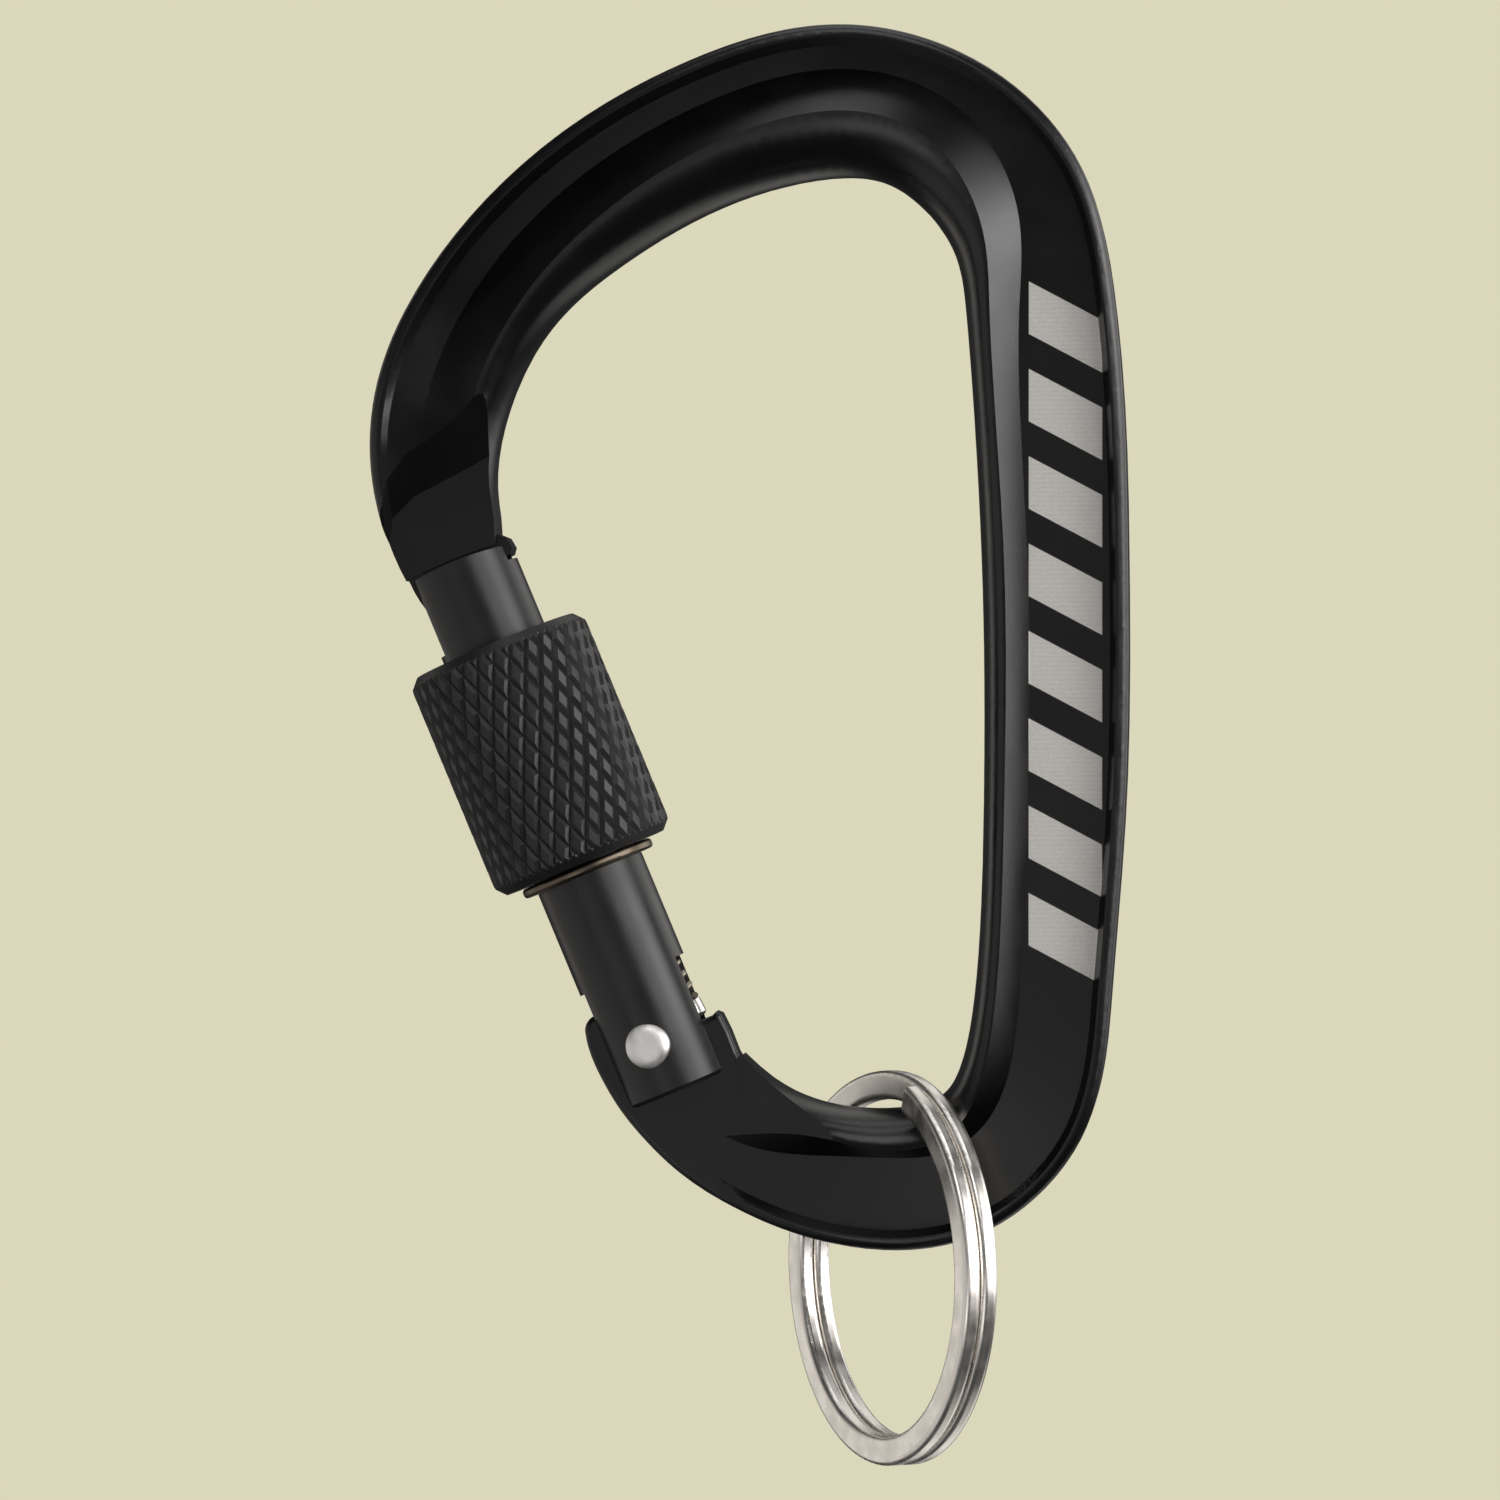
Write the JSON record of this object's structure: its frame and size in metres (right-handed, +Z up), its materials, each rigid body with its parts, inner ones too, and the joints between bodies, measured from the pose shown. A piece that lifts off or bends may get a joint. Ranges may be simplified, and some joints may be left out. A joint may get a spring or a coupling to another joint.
{
  "type": "carabiner keyring",
  "caption": "Small D-shaped aluminium carabiner with a sprung, screw-locking gate and a split key ring hanging in its lower bow",
  "frame": {"origin": "the strap seat: the highest point of the inside of the top bow, in the mid-plane of the frame", "axes": "+Z up along the object's length, spine on +X and gate on -X, front face toward -Y, Y across the thickness"},
  "size_m": [0.0499, 0.0234, 0.0947],
  "materials": {
    "anodised_black": "black anodised, satin with a soft gloss",
    "anodised_satin": "black anodised, satin",
    "anodised_matte": "black anodised, matte, knurled",
    "rivet_steel": "bright turned steel",
    "spring_steel": "drawn spring wire",
    "ring_brass": "drawn wire, slightly dull",
    "nickel": "polished nickel plate, warm tone"
  },
  "bodies": {
    "frame": {"frame": "anodised_black"},
    "gate": {"gate_barrel": "anodised_satin", "hinge_rivet": "rivet_steel", "gate_spring": "spring_steel"},
    "plunger": {"spring_plunger": "rivet_steel"},
    "stop_ring": {"stop_ring": "ring_brass"},
    "lock_sleeve": {"lock_sleeve": "anodised_matte"},
    "key_ring": {"key_ring": "nickel"}
  },
  "joints": [
    {"name": "gate_swing", "type": "hinge", "parent": "frame", "child": "gate", "pos_m": [-0.01395, 0, -0.0571], "axis": [0, 1, 0], "range_deg": [0, 25], "stiffness_Nm_per_rad": 0.05, "springref_deg": -57.3, "deforming": ["gate_spring"]},
    {"name": "plunger_travel", "type": "slide", "parent": "gate", "child": "plunger", "axis": [-0.4648, 0, 0.8854], "range_m": [0, 0.0016]},
    {"name": "sleeve_turn", "type": "hinge", "parent": "gate", "child": "stop_ring", "pos_m": [-0.01824, 0, -0.04556], "axis": [-0.3859, 0, 0.9225], "range_deg": [0, 1800]},
    {"name": "sleeve_travel", "type": "slide", "parent": "stop_ring", "child": "lock_sleeve", "axis": [-0.3859, 0, 0.9225], "range_m": [0, 0.0075]},
    {"name": "ring_swing", "type": "hinge", "parent": "frame", "child": "key_ring", "pos_m": [0.0018, 0, -0.0695], "axis": [0.866, 0.5, 0], "range_deg": [-35, 35]}
  ],
  "couplings": [
    {"joint": "plunger_travel", "follows": "gate_swing", "m_per_rad": 0.0036},
    {"joint": "sleeve_travel", "follows": "sleeve_turn", "m_per_rad": 0.00023873}
  ]
}
